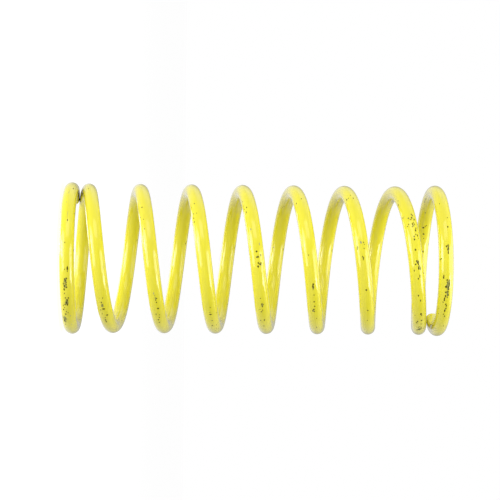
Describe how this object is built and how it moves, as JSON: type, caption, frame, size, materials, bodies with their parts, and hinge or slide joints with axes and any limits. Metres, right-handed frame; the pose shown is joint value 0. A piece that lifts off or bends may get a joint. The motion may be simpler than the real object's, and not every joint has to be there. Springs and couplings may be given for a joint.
{
  "type": "helical compression spring",
  "caption": "Helical compression spring for a pressure regulator, round wire in worn yellow paint, with closed unground ends and open coils between.",
  "frame": {"origin": "on the coil's axis, at the level of the lower end coil's lowest point", "axes": "+Z along the coil's axis from the lower end to the upper end, +X and +Y across the coil"},
  "size_m": [0.0424, 0.0422, 0.1074],
  "materials": {
    "yellow_paint": "gloss yellow paint on spring steel, chipped to the dark steel in places"
  },
  "bodies": {
    "root": {"spring": "yellow_paint"}
  },
  "joints": []
}
